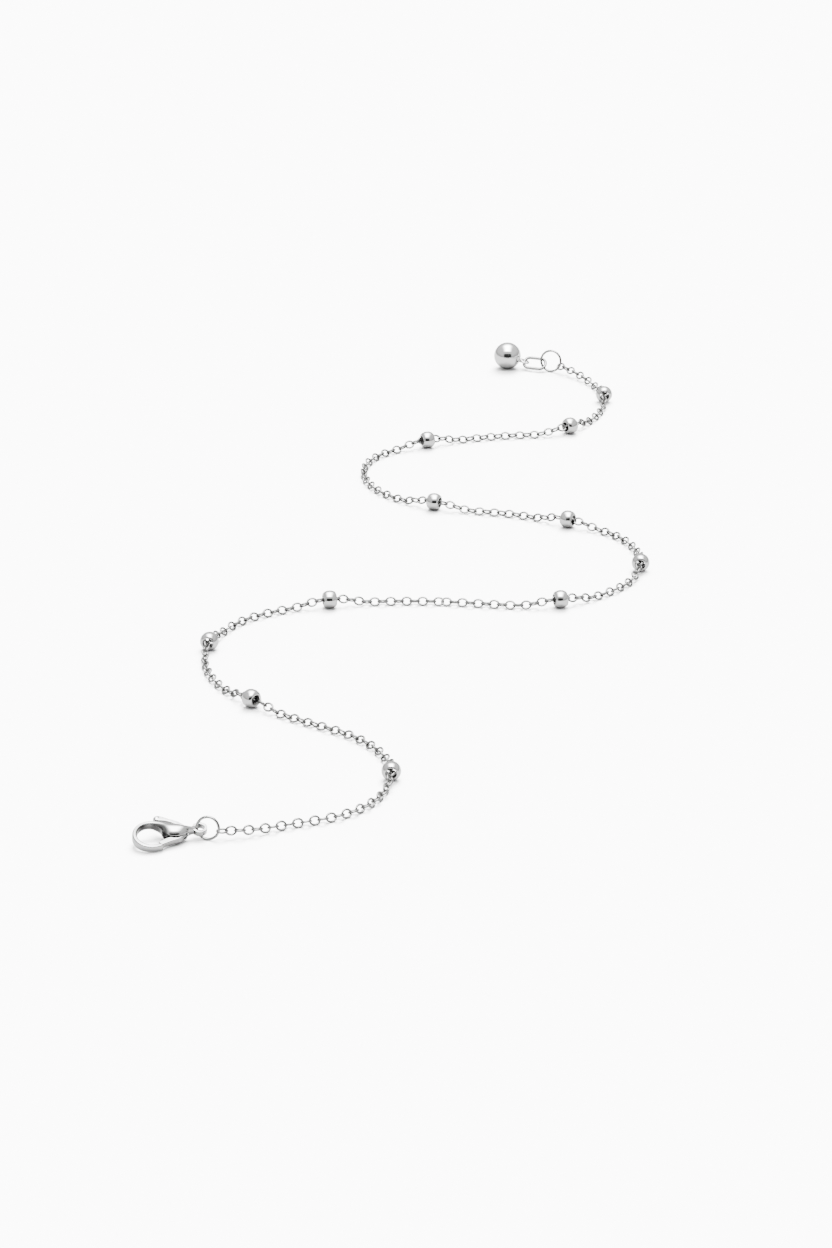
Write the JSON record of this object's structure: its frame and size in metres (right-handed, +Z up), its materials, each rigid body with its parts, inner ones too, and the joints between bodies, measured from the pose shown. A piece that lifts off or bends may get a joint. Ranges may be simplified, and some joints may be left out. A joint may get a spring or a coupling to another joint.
{
  "type": "satellite_chain_bracelet",
  "caption": "Fine round-link chain drawn through spaced rondelle beads, with a lever clasp on one end ring and a ball drop on the other, worn round a wrist or ankle",
  "frame": {"origin": "bottom centre of the box round the laid-out bracelet, on the surface that it lies on", "axes": "+X to the right and +Y away from the viewer across the surface, clasp at the near end; +Z up"},
  "size_m": [0.0646, 0.1709, 0.004],
  "materials": {
    "chain_steel": "polished stainless steel wire",
    "bead_steel": "mirror polished stainless steel",
    "clasp_steel": "polished cast stainless steel",
    "lever_steel": "polished stainless steel",
    "pin_steel": "plain turned steel",
    "ring_steel": "polished stainless steel wire",
    "drop_steel": "polished stainless steel wire",
    "ball_steel": "mirror polished stainless steel"
  },
  "bodies": {
    "bracelet": {"clasp_body": "clasp_steel", "clasp_pin": "pin_steel", "clasp_ring": "ring_steel", "first_link": "chain_steel", "chain_near": "chain_steel", "chain_far": "chain_steel", "last_link": "chain_steel", "end_ring": "ring_steel", "drop_link": "drop_steel", "end_ball": "ball_steel", "bead_01": "bead_steel", "bead_02": "bead_steel", "bead_03": "bead_steel", "bead_04": "bead_steel", "bead_05": "bead_steel", "bead_06": "bead_steel", "bead_07": "bead_steel", "bead_08": "bead_steel", "bead_09": "bead_steel", "bead_10": "bead_steel", "bead_11": "bead_steel"},
    "lever": {"clasp_lever": "lever_steel"}
  },
  "joints": [
    {"name": "lever_hinge", "type": "hinge", "parent": "bracelet", "child": "lever", "pos_m": [-0.02629, -0.08173, 0.0011], "axis": [-0.0852, 0.2621, -0.9613], "range_deg": [0, 22], "stiffness_Nm_per_rad": 0.005}
  ]
}
